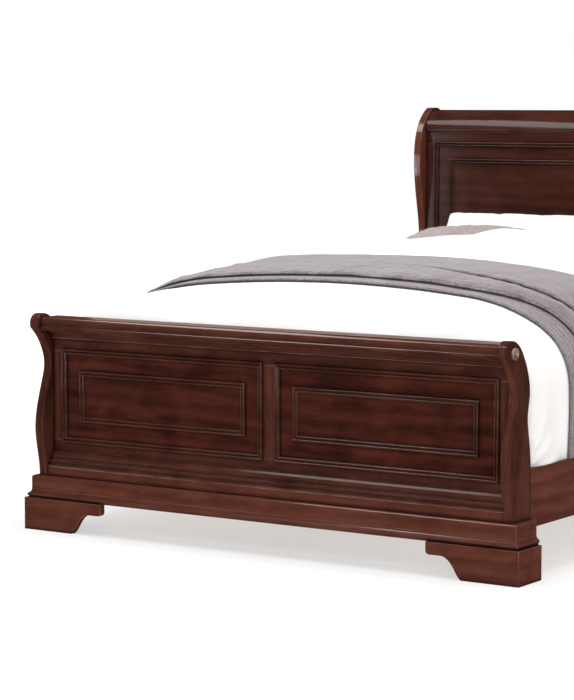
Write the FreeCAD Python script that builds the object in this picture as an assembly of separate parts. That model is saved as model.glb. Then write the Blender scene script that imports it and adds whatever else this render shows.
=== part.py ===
import FreeCAD, Part
import math
import os

os.makedirs("parts", exist_ok=True)
V = FreeCAD.Vector

# Driving dimensions, in millimetres. X runs across the bed, Y from the footboard to the
# headboard, Z up from the floor. While a piece is drawn, Y is measured from the front of
# the bracket feet; save() then moves it so that the origin is in the middle of the bed.
WIDTH_OVER_FEET = 1651.0
PLINTH_WIDTH = 1618.0
POST_OUTER = 791.0
POST_THICK = 28.0
FOOT_PANEL_Y = 64.0
HEAD_PANEL_Y = 2210.0
SCROLL_FRONT_Y = -11.5
SCROLL_REAR_Y = 2322.3
FOOT_HEIGHT = 94.0
PLINTH_TOP = 160.0
FOOT_CREST_TOP = 628.0
HEAD_CREST_TOP = 1221.0
RAIL_BOTTOM = 135.0
RAIL_TOP = 292.0
RAIL_THICK = 22.0
MATTRESS_WIDTH = 1520.0
MATTRESS_LENGTH = 2030.0
MATTRESS_FOOT_Y = 132.0
SLAT_TOP = 185.0
FOUNDATION_TOP = 405.0
MATTRESS_TOP = 640.0
MATTRESS_SHOULDER = 110.0

MIDDLE_Y = (SCROLL_FRONT_Y + SCROLL_REAR_Y) / 2
POST_INNER = POST_OUTER - POST_THICK
BOARD_THICK = 20.0
BACK_THICK = 6.0
LEG_BACK_Y = 126.0
HEAD_LEG_Y = 2200.0
HEAD_LEG_BACK_Y = 2290.0


def save(node, *shapes):
    """Write one node, moved so that the origin is in the middle of the bed."""
    shape = shapes[0] if len(shapes) == 1 else Part.makeCompound(list(shapes))
    shape = shape.copy()
    shape.translate(V(0, -MIDDLE_Y, 0))
    shape.exportStep("parts/" + node + ".step")


def box(x0, x1, y0, y1, z0, z1):
    return Part.makeBox(x1 - x0, y1 - y0, z1 - z0, V(x0, y0, z0))


def mirrored(shape):
    return shape.mirror(V(0, 0, 0), V(1, 0, 0))


def line(a, b):
    return Part.LineSegment(V(*a), V(*b)).toShape()


def arc(a, middle, b):
    return Part.Arc(V(*a), V(*middle), V(*b)).toShape()


def curve(points):
    """One smooth curve through the points."""
    spline = Part.BSplineCurve()
    spline.interpolate([V(*p) for p in points])
    return spline.toShape()


def prism(edges, direction):
    """A closed outline carried straight along a direction."""
    face = Part.Face(Part.Wire(edges))
    return face.extrude(V(*direction))


def outline(points):
    """Straight edges round a list of points."""
    return [line(a, b) for a, b in zip(points, points[1:] + points[:1])]


def softened(shape, radius, chosen):
    """Round the edges that chosen(edge) picks."""
    edges = [edge for edge in shape.Edges if chosen(edge)]
    return shape.makeFillet(radius, edges)


def rounded_box(x0, x1, y0, y1, z0, z1, radius):
    block = box(x0, x1, y0, y1, z0, z1)
    return block.makeFillet(radius, block.Edges)


# Footboard posts: slabs with a double curve, seen from the side, that roll forward into a
# scroll at the top. Below the plinth's top they step back behind it and stand on the floor.
PLINTH_FRONT_Y = 15.0
PLINTH_THICK = 18.0
POST_EDGE_ROUND = 3.0


def foot_post_outline(x):
    front = curve([(x, 28, PLINTH_TOP), (x, 22, 215), (x, 9, 300), (x, 21, 378), (x, 41, 440),
                   (x, 52, 490), (x, 42, 530), (x, 12, 577), (x, -8, 596)])
    scroll = arc((x, -8, 596), (x, -5.5, 627), (x, 16, 638))
    top = line((x, 16, 638), (x, 30, 638))
    back = curve([(x, 30, 638), (x, 66, 618), (x, 92, 582), (x, 112, 537), (x, 118, 490),
                  (x, 108, 435), (x, 114, 385), (x, 123, 335), (x, LEG_BACK_Y, RAIL_TOP)])
    inner_y = PLINTH_FRONT_Y + PLINTH_THICK
    leg = [(x, LEG_BACK_Y, RAIL_TOP), (x, LEG_BACK_Y, 0), (x, inner_y, 0), (x, inner_y, PLINTH_TOP),
           (x, 28, PLINTH_TOP)]
    legs = [line(a, b) for a, b in zip(leg, leg[1:])]
    return [front, scroll, top, back] + legs


def hook_pockets(y, depth, side):
    """Two upright pockets in a post's edge, where the rail's hooks drop in."""
    low = min(y, y + side * depth)
    pockets = [box(775, 781, low, low + depth, z, z + 32) for z in (172, 232)]
    return pockets[0].fuse(pockets[1])


def is_long_curve(edge):
    """True for the curved outline edges on a post's two flat sides above the rail."""
    box_of_edge = edge.BoundBox
    return box_of_edge.XLength < 0.01 and box_of_edge.ZMin > 159 and edge.Length > 20


foot_post = prism(foot_post_outline(POST_INNER), (POST_THICK, 0, 0))
foot_post = softened(foot_post, POST_EDGE_ROUND, is_long_curve)
foot_post = foot_post.cut(hook_pockets(LEG_BACK_Y, 14, -1))
save("footboard_post_right", foot_post)
save("footboard_post_left", mirrored(foot_post))


# Rosettes: small turned buttons glued on the scroll's outer face.
ROSETTE_RADIUS = 17.0


def rosette(y, z):
    """A turned button: a flat disc with a raised rim and a domed middle, its axis along X."""
    r = ROSETTE_RADIUS
    across = V(1, 0, 0)
    disc = Part.makeCylinder(r, 3, V(0, 0, 0), across)
    rim = Part.makeTorus(r - 2, 2, V(3, 0, 0), across)
    dome_radius = 18.0
    dome = Part.makeSphere(dome_radius, V(7 - dome_radius, 0, 0))
    dome = dome.common(Part.makeCylinder(r - 6, 8, V(0, 0, 0), across))
    button = disc.fuse(rim).fuse(dome).removeSplitter()
    button.translate(V(POST_OUTER, y, z))
    return button


foot_rosette = rosette(30, 604)
save("footboard_rosettes", foot_rosette, mirrored(foot_rosette))


# Crest rail: the thick rolled cap between the posts, with a bead along its lower front edge
# and a cove moulding under it.
def between_posts(edges):
    """An outline drawn at the left post, carried across to the right one."""
    return prism(edges, (2 * POST_INNER, 0, 0))


x = -POST_INNER
top = FOOT_CREST_TOP
crest = [line((x, 96, 588), (x, 96, top - 12)), arc((x, 96, top - 12), (x, 92.5, top - 3.5), (x, 84, top)),
         line((x, 84, top), (x, 17, top)), arc((x, 17, top), (x, 7.5, top - 4.5), (x, 4, top - 14)),
         line((x, 4, top - 14), (x, 6, 603)), arc((x, 6, 603), (x, 1, 596.5), (x, 6, 590)),
         line((x, 6, 590), (x, 12, 588)), line((x, 12, 588), (x, 96, 588))]
save("footboard_crest_rail", between_posts(crest))
cove = [line((x, 64, 588), (x, 34, 588)), line((x, 34, 588), (x, 34, 584)),
        arc((x, 34, 584), (x, 50, 579), (x, 57, 568)), line((x, 57, 568), (x, 57, 564)),
        line((x, 57, 564), (x, 64, 564)), line((x, 64, 564), (x, 64, 588))]
save("footboard_crest_cove", between_posts(cove))


# Frame and panel: rails and stiles round two flat panels, with a thin back over them.
# Mitred strips of double bead cover the joints, and a second ring lies on each panel.
BEAD_WIDTH = 17.0
OUTER_RING_X = (19.5, 730.0)
INNER_RING_X = (80.0, 667.0)
PANEL_LIP = 8.0
PANEL_SET_BACK = 3.0
PANEL_THICK = 10.0


def frame_and_panels(name, face_y, ring_z, bottom, top):
    """Rails, stiles and two panels behind an upright face; ring_z is the outer ring's span."""
    back_y = face_y + BOARD_THICK
    x_in = OUTER_RING_X[0] + PANEL_LIP
    x_out = OUTER_RING_X[1] - PANEL_LIP
    z_low = ring_z[0] + PANEL_LIP
    z_high = ring_z[1] - PANEL_LIP
    save(name + "_top_rail", box(-POST_INNER, POST_INNER, face_y, back_y, z_high, top))
    save(name + "_bottom_rail", box(-POST_INNER, POST_INNER, face_y, back_y, bottom, z_low))
    save(name + "_centre_stile", box(-x_in, x_in, face_y, back_y, z_low, z_high))
    stile = box(x_out, POST_INNER, face_y, back_y, z_low, z_high)
    save(name + "_stile_right", stile)
    save(name + "_stile_left", mirrored(stile))
    panel_y = face_y + PANEL_SET_BACK
    panel = box(x_in, x_out, panel_y, panel_y + PANEL_THICK, z_low, z_high)
    save(name + "_panel_right", panel)
    save(name + "_panel_left", mirrored(panel))


def bead_section(base):
    """The double bead's section at x = 0, its width along Y and its height along Z: a tall
    outer round, a groove and a low inner round. base is how far its back sits below Z = 0."""
    w = BEAD_WIDTH
    return [line((0, 0, -base), (0, 0, 3)), arc((0, 0, 3), (0, 3.5, 7), (0, 7, 3.5)),
            line((0, 7, 3.5), (0, 8.5, 2)), line((0, 8.5, 2), (0, 10, 3)),
            arc((0, 10, 3), (0, 13, 5), (0, 16, 2.5)), line((0, 16, 2.5), (0, w, 1)),
            line((0, w, 1), (0, w, -base)), line((0, w, -base), (0, 0, -base))]


def bead_ring(x_span, z_span, face_y, base):
    """Four mitred strips of double bead round a rectangle on a face that looks along -Y."""
    (x0, x1), (z0, z1) = x_span, z_span
    starts = [V(x0, 0, z0), V(x1, 0, z0), V(x1, 0, z1), V(x0, 0, z1)]
    strips = []
    for k, start in enumerate(starts):
        along = starts[(k + 1) % 4] - start
        length = along.Length
        along.normalize()
        out = V(0, -1, 0)
        across = out.cross(along)
        strip = prism(bead_section(base), (length, 0, 0))
        w = BEAD_WIDTH
        mitre = [(0, 0, -20), (length, 0, -20), (length - w, w, -20), (w, w, -20)]
        strip = strip.common(prism(outline(mitre), (0, 0, 40)))
        strip.Placement = FreeCAD.Placement(FreeCAD.Matrix(
            along.x, across.x, out.x, start.x,
            along.y, across.y, out.y, face_y,
            along.z, across.z, out.z, start.z,
            0, 0, 0, 1))
        strips.append(strip)
    return strips


def bead_rings(name, face_y, outer_z, inner_z):
    """Outer rings over the joints and inner rings on the panels, left and right."""
    outer = bead_ring(OUTER_RING_X, outer_z, face_y, 0)
    inner = bead_ring(INNER_RING_X, inner_z, face_y + PANEL_SET_BACK, 0)
    save(name + "_outer_beading", *outer, *[mirrored(strip) for strip in outer])
    save(name + "_inner_beading", *inner, *[mirrored(strip) for strip in inner])


frame_and_panels("footboard", FOOT_PANEL_Y, (257, 534), PLINTH_TOP, 588)
bead_rings("footboard", FOOT_PANEL_Y, (257, 534), (320, 472))
back_y = FOOT_PANEL_Y + BOARD_THICK
save("footboard_back", box(-POST_INNER, POST_INNER, back_y, back_y + BACK_THICK, PLINTH_TOP, 588))

# Stepped moulding over the flat lower board that stands on the plinth.
LOWER_BOARD_Y = 32.0
STEP_BOTTOM = 186.0
x = -POST_INNER
steps = [(x, 64, STEP_BOTTOM), (x, 33, STEP_BOTTOM), (x, 33, 190), (x, 37, 193), (x, 41, 194),
         (x, 41, 201), (x, 44, 206), (x, 50, 207.5), (x, 50, 217), (x, 53, 223), (x, 58, 229),
         (x, 64, 233)]
save("footboard_step_moulding", between_posts(outline(steps)))
save("footboard_lower_board", box(-POST_INNER, POST_INNER, LOWER_BOARD_Y + 1, FOOT_PANEL_Y,
                                  PLINTH_TOP, STEP_BOTTOM))


# Plinth and base moulding: a section carried round the front and both sides with mitres.
PLINTH_ROUND = 8.0
PLINTH_BACK_Y = 126.0
half = PLINTH_WIDTH / 2


def wrapped(section_points, half_width, front_y):
    """A front piece and two side returns. section_points gives (distance out from the
    plinth's face, z) round the section, and each piece is cut at a mitre."""
    def at(px, py):
        return [(px + o * ux, py + o * uy, z) for o, z in section_points]

    depth = PLINTH_BACK_Y - front_y
    reach = 60.0
    ux, uy = 0.0, -1.0
    front = prism(outline(at(-half_width - reach, front_y)), (2 * (half_width + reach), 0, 0))
    ux, uy = 1.0, 0.0
    side = prism(outline(at(half_width, front_y - reach)), (0, depth + reach, 0))
    a = reach
    wedge = [(half_width - a, front_y + a, 0), (half_width + a, front_y - a, 0),
             (half_width + a, front_y + 9 * a, 0), (half_width - a, front_y + 9 * a, 0)]
    side_zone = prism(outline(wedge), (0, 0, 300))
    side = side.common(side_zone)
    front = front.cut(side_zone).cut(mirrored(side_zone))
    return front, side, mirrored(side)


PLINTH_SECTION = [(-PLINTH_THICK, 118), (0, 118), (0, PLINTH_TOP - PLINTH_ROUND)]
for step in range(1, 7):
    angle = math.radians(15 * step)
    PLINTH_SECTION.append((-PLINTH_ROUND * (1 - math.cos(angle)),
                           PLINTH_TOP - PLINTH_ROUND * (1 - math.sin(angle))))
PLINTH_SECTION.append((-PLINTH_THICK, PLINTH_TOP))
front, right, left = wrapped(PLINTH_SECTION, half, PLINTH_FRONT_Y)
save("footboard_plinth_front", front)
save("footboard_plinth_return_right", right)
save("footboard_plinth_return_left", left)

BASE_SECTION = [(-PLINTH_THICK, FOOT_HEIGHT), (6, FOOT_HEIGHT), (6.5, 98), (9, 100), (10, 103.5),
                (8.5, 107), (6, 108.5), (3.5, 110), (1.5, 113), (0.5, 118), (-PLINTH_THICK, 118)]
save("footboard_base_moulding", *wrapped(BASE_SECTION, half, PLINTH_FRONT_Y))

# Bracket feet: a shaped front and a plain side, mitred at the corner, with a glue block.
FOOT_LENGTH = 281.5
FOOT_THICK = 20.0
FOOT_DEPTH = 124.5
outer = WIDTH_OVER_FEET / 2
start = outer - FOOT_LENGTH
bracket = [line((outer, 0, 0), (outer, 0, FOOT_HEIGHT)),
           line((outer, 0, FOOT_HEIGHT), (start, 0, FOOT_HEIGHT)),
           line((start, 0, FOOT_HEIGHT), (start, 0, 70)),
           arc((start, 0, 70), (start + 4, 0, 62.5), (start + 12, 0, 60)),
           line((start + 12, 0, 60), (start + 42, 0, 60)),
           curve([(start + 42, 0, 60), (start + 62, 0, 55), (start + 80, 0, 38), (start + 94, 0, 16),
                  (start + 108, 0, 0)]),
           line((start + 108, 0, 0), (outer, 0, 0))]
foot_front = prism(bracket, (0, FOOT_THICK, 0))
foot_side = box(outer - FOOT_THICK, outer, 0, FOOT_DEPTH, 0, FOOT_HEIGHT)
corner = [(outer - 60, 60, 0), (outer + 60, -60, 0), (outer + 60, 300, 0), (outer - 60, 300, 0)]
corner_zone = prism(outline(corner), (0, 0, FOOT_HEIGHT))
foot_front = foot_front.cut(corner_zone)
foot_side = foot_side.common(corner_zone)
save("bracket_foot_right", foot_front, foot_side)
save("bracket_foot_left", mirrored(foot_front), mirrored(foot_side))
block = box(POST_INNER - 50, POST_INNER, FOOT_THICK, FOOT_THICK + 45, 4, FOOT_HEIGHT)
save("foot_glue_blocks", block, mirrored(block))


# Headboard posts: a taller double curve that rolls back at the top and ends in a straight leg.
def head_post_outline(x):
    front = curve([(x, HEAD_LEG_Y, 740), (x, 2196, 830), (x, 2179, 915), (x, 2167, 1000),
                   (x, 2166, 1075), (x, 2179, 1138), (x, 2213, 1195), (x, 2257, 1228)])
    top = line((x, 2257, 1228), (x, 2286, 1229))
    scroll = arc((x, 2286, 1229), (x, SCROLL_REAR_Y - 0.3, 1196), (x, 2300, 1157))
    back = curve([(x, 2300, 1157), (x, 2268, 1115), (x, 2252, 1050), (x, 2257, 960),
                  (x, 2275, 860), (x, HEAD_LEG_BACK_Y, 740)])
    leg = [(x, HEAD_LEG_BACK_Y, 740), (x, HEAD_LEG_BACK_Y, 0), (x, HEAD_LEG_Y, 0), (x, HEAD_LEG_Y, 740)]
    legs = [line(a, b) for a, b in zip(leg, leg[1:])]
    return [front, top, scroll, back] + legs


head_post = prism(head_post_outline(POST_INNER), (POST_THICK, 0, 0))
head_post = softened(head_post, POST_EDGE_ROUND, is_long_curve)
head_post = head_post.cut(hook_pockets(HEAD_LEG_Y, 14, 1))
save("headboard_post_right", head_post)
save("headboard_post_left", mirrored(head_post))
head_rosette = rosette(2278, 1188)
save("headboard_rosettes", head_rosette, mirrored(head_rosette))

x = -POST_INNER
top = HEAD_CREST_TOP
head_crest = [line((x, 2202, 1151), (x, 2200, 1156)),
              curve([(x, 2200, 1156), (x, 2209, 1180), (x, 2231, 1206), (x, 2262, top)]),
              line((x, 2262, top), (x, 2290, top)),
              arc((x, 2290, top), (x, 2311, 1196), (x, 2292, 1168)),
              line((x, 2292, 1168), (x, 2262, 1151)), line((x, 2262, 1151), (x, 2202, 1151))]
save("headboard_crest_rail", between_posts(head_crest))
head_cove = [line((x, 2210, 1151), (x, 2203, 1151)), line((x, 2203, 1151), (x, 2203, 1148)),
             arc((x, 2203, 1148), (x, 2206, 1146), (x, 2207, 1142)), line((x, 2207, 1142), (x, 2210, 1140)),
             line((x, 2210, 1140), (x, 2210, 1151))]
save("headboard_crest_cove", between_posts(head_cove))
frame_and_panels("headboard", HEAD_PANEL_Y, (660, 1107), 560, 1151)
bead_rings("headboard", HEAD_PANEL_Y, (660, 1107), (723, 1047))
save("headboard_lower_board", box(-POST_INNER, POST_INNER, HEAD_PANEL_Y, HEAD_PANEL_Y + BOARD_THICK,
                                  250, 560))

# Side rails, with the cleats that carry the slats and the steel hook plates at their ends.
RAIL_FOOT_Y = LEG_BACK_Y
RAIL_HEAD_Y = HEAD_LEG_Y
rail = box(POST_OUTER - RAIL_THICK, POST_OUTER, RAIL_FOOT_Y, RAIL_HEAD_Y, RAIL_BOTTOM, RAIL_TOP)


def is_long_outer_edge(edge):
    bounds = edge.BoundBox
    return bounds.YLength > 1000 and bounds.XMin > POST_OUTER - 1


rail = softened(rail, 3, is_long_outer_edge)
HOOK_ZONES = ((172, 204), (232, 264))
PLATE_THICK = 2.5
plate_x = POST_OUTER - RAIL_THICK


def hook_plate(end_y, side):
    """A flat steel plate let into the rail's end, with two hooks that reach into the post."""
    y_far = end_y + side * 50
    plate = box(775.5, 775.5 + PLATE_THICK, min(end_y, y_far), max(end_y, y_far), 165, 271)
    for low, high in HOOK_ZONES:
        tip_y = end_y - side * 12
        hook = box(775.5, 775.5 + PLATE_THICK, min(end_y, tip_y), max(end_y, tip_y), low + 6, high - 2)
        notch_y = end_y - side * 5
        notch = box(775, 779, min(end_y, notch_y), max(end_y, notch_y), low + 5, low + 14)
        plate = plate.fuse(hook).cut(notch)
    return plate.removeSplitter()


foot_plate = hook_plate(RAIL_FOOT_Y, 1)
head_plate = hook_plate(RAIL_HEAD_Y, -1)
for end_y, side in ((RAIL_FOOT_Y, 1), (RAIL_HEAD_Y, -1)):
    y_far = end_y + side * 50
    rail = rail.cut(box(775.5, 775.5 + PLATE_THICK, min(end_y, y_far), max(end_y, y_far), 165, 271))
save("side_rail_right", rail)
save("side_rail_left", mirrored(rail))
save("rail_hook_plates", foot_plate, head_plate, mirrored(foot_plate), mirrored(head_plate))

CLEAT_DEPTH = 24.0
CLEAT_HEIGHT = 25.0
SLAT_THICK = 18.0
cleat_top = SLAT_TOP - SLAT_THICK
cleat = box(plate_x - CLEAT_DEPTH, plate_x, 180, 2150, cleat_top - CLEAT_HEIGHT, cleat_top)
save("slat_cleat_right", cleat)
save("slat_cleat_left", mirrored(cleat))

# Slats across the bed, screwed down at both ends, and a beam on three legs down the middle.
SLAT_COUNT = 12
SLAT_WIDTH = 70.0
SLAT_HALF = plate_x - 2.0
SCREW_X = plate_x - CLEAT_DEPTH / 2
first_slat = 190.0
last_slat = 2075.0
slats = []
screws = []
for k in range(SLAT_COUNT):
    y = first_slat + (last_slat - first_slat) * k / (SLAT_COUNT - 1)
    slat = box(-SLAT_HALF, SLAT_HALF, y, y + SLAT_WIDTH, cleat_top, SLAT_TOP)
    for screw_x in (-SCREW_X, SCREW_X):
        middle = y + SLAT_WIDTH / 2
        hole = Part.makeCylinder(2.0, SLAT_THICK, V(screw_x, middle, cleat_top))
        sink = Part.makeCone(2.0, 4.5, 2.5, V(screw_x, middle, SLAT_TOP - 2.5))
        slat = slat.cut(hole.fuse(sink))
        shank = Part.makeCylinder(2.0, SLAT_THICK - 2.5, V(screw_x, middle, cleat_top))
        head = Part.makeCone(2.0, 4.5, 2.5, V(screw_x, middle, SLAT_TOP - 2.5))
        screws.append(shank.fuse(head).removeSplitter())
    slats.append(slat)
save("slats", *slats)
save("slat_screws", *screws)

BEAM_WIDTH = 40.0
BEAM_HEIGHT = 45.0
beam_bottom = cleat_top - BEAM_HEIGHT
save("centre_beam", box(-BEAM_WIDTH / 2, BEAM_WIDTH / 2, 170, 2160, beam_bottom, cleat_top))
legs = [box(-22, 22, y - 22, y + 22, 0, beam_bottom) for y in (560, 1165, 1770)]
save("centre_legs", *legs)

# Bedding as plain solids: foundation, mattress, quilt, folded throw and two pairs of pillows.
CLEAR = 0.5
half = MATTRESS_WIDTH / 2


def is_top_side_edge(edge):
    """True for the two long edges round the mattress's top."""
    bounds = edge.BoundBox
    return bounds.YLength > 1000 and bounds.ZMin > MATTRESS_TOP - 1


mattress_head_y = MATTRESS_FOOT_Y + MATTRESS_LENGTH
save("foundation", rounded_box(-755, 755, MATTRESS_FOOT_Y, mattress_head_y, SLAT_TOP + CLEAR,
                               FOUNDATION_TOP, 10))
mattress = box(-half, half, MATTRESS_FOOT_Y, mattress_head_y, FOUNDATION_TOP + CLEAR, MATTRESS_TOP)
mattress = softened(mattress, MATTRESS_SHOULDER, is_top_side_edge)
save("mattress", mattress)

QUILT_SIDE = 784.0
HEM_Z = 300.0


def crown_line(side, edge_z, crown_z, lift, tuck):
    """Right half of a section across the bed, from the hem up and in to the middle: the hem is
    tucked in, the side hangs straight, turns over a soft shoulder and rises to a crown."""
    points = [(side - tuck, HEM_Z), (side, HEM_Z + 60)]
    for inward, drop in ((0, 200), (6, 150), (22, 110), (46, 74), (85, 38), (150, 8)):
        points.append((side - inward, edge_z - drop + lift))
    for inward, share in ((260, 0.5), (440, 0.85), (side, 1.0)):
        points.append((side - inward, edge_z + share * (crown_z - edge_z) + lift))
    return points


def across_bed(y, half_line):
    """A right half line, and its mirror image, as 3-D points from right hem to left hem."""
    right = [(px, y, pz) for px, pz in half_line]
    return right + [(-px, py, pz) for px, py, pz in reversed(right[:-1])]


def lofted(sections):
    return Part.makeLoft([Part.Wire(outline(points)) for points in sections], True, True)


def quilt_section(y, edge_z, crown_z):
    """The quilt's section, hollow below where the mattress lies."""
    centre_x = half - MATTRESS_SHOULDER
    centre_z = MATTRESS_TOP - MATTRESS_SHOULDER
    radius = (MATTRESS_SHOULDER + 2) / math.cos(math.radians(15))
    inside = [(half + 2, HEM_Z)]
    for degrees in (15, 45, 75):
        angle = math.radians(degrees)
        inside.append((centre_x + radius * math.cos(angle), centre_z + radius * math.sin(angle)))
    inside.append((0, MATTRESS_TOP + 2))
    outside = crown_line(QUILT_SIDE, edge_z, crown_z, 0, 8)
    return across_bed(y, outside) + list(reversed(across_bed(y, inside)))


quilt = lofted([quilt_section(y, edge, crown)
                for y, edge, crown in ((138, 680, 700), (380, 706, 737), (1000, 755, 785),
                                       (1450, 768, 812), (1620, 768, 822), (1695, 740, 790))])
foot_fall = box(-740, 740, 104, 130, 440, 650)
foot_cap = box(-740, 740, 104, 142, MATTRESS_TOP + CLEAR, 686)
quilt = quilt.fuse(foot_fall).fuse(foot_cap).removeSplitter()
save("quilt", quilt)

THROW_FRONT_Y = 380.0
THROW_BACK_Y = 950.0
THROW_THICK = 26.0
THROW_SIDE_THICK = 11.0


def throw_section(y, edge_z, crown_z):
    """The throw's section: a folded strip that lies just clear of the quilt."""
    inside = crown_line(QUILT_SIDE + 1, edge_z, crown_z, 1.5, 0)
    outside = crown_line(QUILT_SIDE + 1 + THROW_SIDE_THICK, edge_z, crown_z, THROW_THICK, 0)
    return across_bed(y, outside) + list(reversed(across_bed(y, inside)))


throw = lofted([throw_section(THROW_FRONT_Y, 706, 737), throw_section(THROW_BACK_Y, 751.05, 781.1)])
save("throw_blanket", throw)

lower_pillow = rounded_box(20, 700, 1712, 1950, MATTRESS_TOP + CLEAR, 833, 45)
upper_pillow = rounded_box(20, 640, 1962, 2176, MATTRESS_TOP + CLEAR, 865, 55)
save("front_pillow_right", lower_pillow)
save("front_pillow_left", mirrored(lower_pillow))
save("back_pillow_right", upper_pillow)
save("back_pillow_left", mirrored(upper_pillow))
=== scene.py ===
import math

import bmesh
import bpy
import numpy as np
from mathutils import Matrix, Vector


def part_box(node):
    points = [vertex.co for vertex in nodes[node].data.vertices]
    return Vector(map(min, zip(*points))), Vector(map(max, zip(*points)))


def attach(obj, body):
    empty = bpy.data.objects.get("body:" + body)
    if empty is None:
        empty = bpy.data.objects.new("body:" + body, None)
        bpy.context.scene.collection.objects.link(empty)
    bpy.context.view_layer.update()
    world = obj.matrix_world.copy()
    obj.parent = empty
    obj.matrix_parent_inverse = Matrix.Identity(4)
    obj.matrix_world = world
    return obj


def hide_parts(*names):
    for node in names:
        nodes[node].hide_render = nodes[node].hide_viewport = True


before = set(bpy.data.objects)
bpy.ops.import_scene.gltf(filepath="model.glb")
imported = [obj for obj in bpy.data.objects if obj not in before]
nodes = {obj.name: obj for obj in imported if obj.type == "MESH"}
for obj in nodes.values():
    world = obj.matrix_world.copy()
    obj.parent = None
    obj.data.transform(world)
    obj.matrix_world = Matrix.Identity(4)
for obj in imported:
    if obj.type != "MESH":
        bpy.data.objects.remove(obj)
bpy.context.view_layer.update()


# Studio: a pale floor that glows, half white near the bed and full white further out. This is painted
# light that lifts the shadow under the bed, and polish sees the floor as a dim grey glow instead. A key
# softbox overhead, broad fills that light cloth and wood but do not show in the polish, and three strips
# that show in it only: one above for the long beads, and two low ones whose reflections run down upright
# arrises.
# All lengths in this file are metres. X runs across the bed and Y from foot to head.
def add_node(tree, kind, inputs=None, **settings):
    """Adds a shader node, sets its own settings, and fills its inputs: a socket given for an
    input is linked to it, and anything else is set as its value."""
    made = tree.nodes.new("ShaderNode" + kind)
    for name, value in settings.items():
        setattr(made, name, value)
    for key, value in (inputs or {}).items():
        socket = made.inputs[key]
        if isinstance(value, bpy.types.NodeSocket):
            tree.links.new(value, socket)
        else:
            socket.default_value = value
    return made


def new_material(name):
    """An empty material and its node tree."""
    material = bpy.data.materials.new(name)
    material.use_nodes = True
    material.node_tree.nodes.clear()
    return material, material.node_tree


def shade(tree, base, roughness, height=None, normal=None, strength=0.3, depth=0.001, **constants):
    """The last part of each material: a Principled shader with a bump under it."""
    inputs = {"Base Color": base, "Roughness": roughness}
    if height is not None:
        bump = {"Height": height, "Strength": strength, "Distance": depth}
        if normal is not None:
            bump["Normal"] = normal
        inputs["Normal"] = add_node(tree, "Bump", bump).outputs["Normal"]
    for name, value in constants.items():
        inputs[name.replace("_", " ")] = value
    shader = add_node(tree, "BsdfPrincipled", inputs)
    add_node(tree, "OutputMaterial", {"Surface": shader.outputs["BSDF"]})


def grid_faces(rows, columns, first=0):
    """One quad between each four neighbours of a grid of points, as an array of corner numbers."""
    corner = first + np.arange(rows * columns).reshape(rows, columns)
    quads = (corner[:-1, :-1], corner[:-1, 1:], corner[1:, 1:], corner[1:, :-1])
    return np.stack(quads, axis=-1).reshape(-1, 4)


def new_piece(name, points, faces, material):
    """A smooth-shaded mesh object at the origin from points (n, 3) and faces."""
    mesh = bpy.data.meshes.new(name)
    mesh.from_pydata(np.asarray(points).reshape(-1, 3).tolist(), [], np.asarray(faces).tolist())
    mesh.materials.append(material)
    mesh.polygons.foreach_set("use_smooth", np.ones(len(mesh.polygons), bool))
    piece = bpy.data.objects.new(name, mesh)
    bpy.context.scene.collection.objects.link(piece)
    return piece


FLOOR_HALF = 9.0

floor_material, tree = new_material("studio_floor")
speckle = add_node(tree, "TexNoise", {"Scale": 90.0, "Detail": 2.0})
tint = add_node(tree, "ValToRGB", {"Fac": speckle.outputs["Fac"]})
tint.color_ramp.elements[0].color = (0.47, 0.47, 0.47, 1)
tint.color_ramp.elements[1].color = (0.49, 0.49, 0.49, 1)
reach = add_node(tree, "VectorMath", {0: add_node(tree, "TexCoord").outputs["Object"]},
                 operation="LENGTH").outputs["Value"]
# Painted light: the floor's glow grows from half white within 1.7 m of its middle to full white beyond 3.8
# m.
away = add_node(tree, "MapRange", {"Value": reach, "From Min": 1.7, "From Max": 3.8},
                interpolation_type="SMOOTHSTEP").outputs["Result"]
glow = add_node(tree, "ValToRGB", {"Fac": away})
glow.color_ramp.elements[0].color = (0.50, 0.50, 0.50, 1)
glow.color_ramp.elements[1].color = (1, 1, 1, 1)
lit_and_glowing = add_node(tree, "BsdfPrincipled", {
    "Base Color": tint.outputs["Color"], "Roughness": 0.9, "Specular IOR Level": 0.0,
    "Emission Color": glow.outputs["Color"], "Emission Strength": 1.0})
# In polish the floor shows as this dim grey glow: a painted reflection.
dim = add_node(tree, "Emission", {"Color": (0.10, 0.095, 0.095, 1)})
ray = add_node(tree, "LightPath")
seen = add_node(tree, "MixShader", {0: ray.outputs["Is Glossy Ray"], 1: lit_and_glowing.outputs[0],
                                    2: dim.outputs[0]})
add_node(tree, "OutputMaterial", {"Surface": seen.outputs[0]})
across = np.linspace(-FLOOR_HALF, FLOOR_HALF, 9)
floor_x, floor_y = np.meshgrid(across, across)
floor_points = np.stack([floor_x, floor_y, np.zeros_like(floor_x)], axis=-1)
floor = new_piece("studio_floor", floor_points, grid_faces(9, 9), floor_material)


def softbox(name, place, aim, size, radiance, colour, in_polish=False):
    """A rectangular light. Its power is its radiance times pi times its area. One that is seen in
    polish lights nothing else, so that its strength sets only the highlights."""
    light = bpy.data.lights.new(name, "AREA")
    light.shape = "RECTANGLE"
    light.size, light.size_y = size
    light.energy = radiance * math.pi * size[0] * size[1]
    light.color = colour
    lamp = bpy.data.objects.new(name, light)
    lamp.location = place
    lamp.rotation_euler = (Vector(aim) - lamp.location).to_track_quat("-Z", "Y").to_euler()
    lamp.visible_glossy = in_polish
    lamp.visible_diffuse = not in_polish
    lamp.visible_camera = False
    bpy.context.scene.collection.objects.link(lamp)


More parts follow.
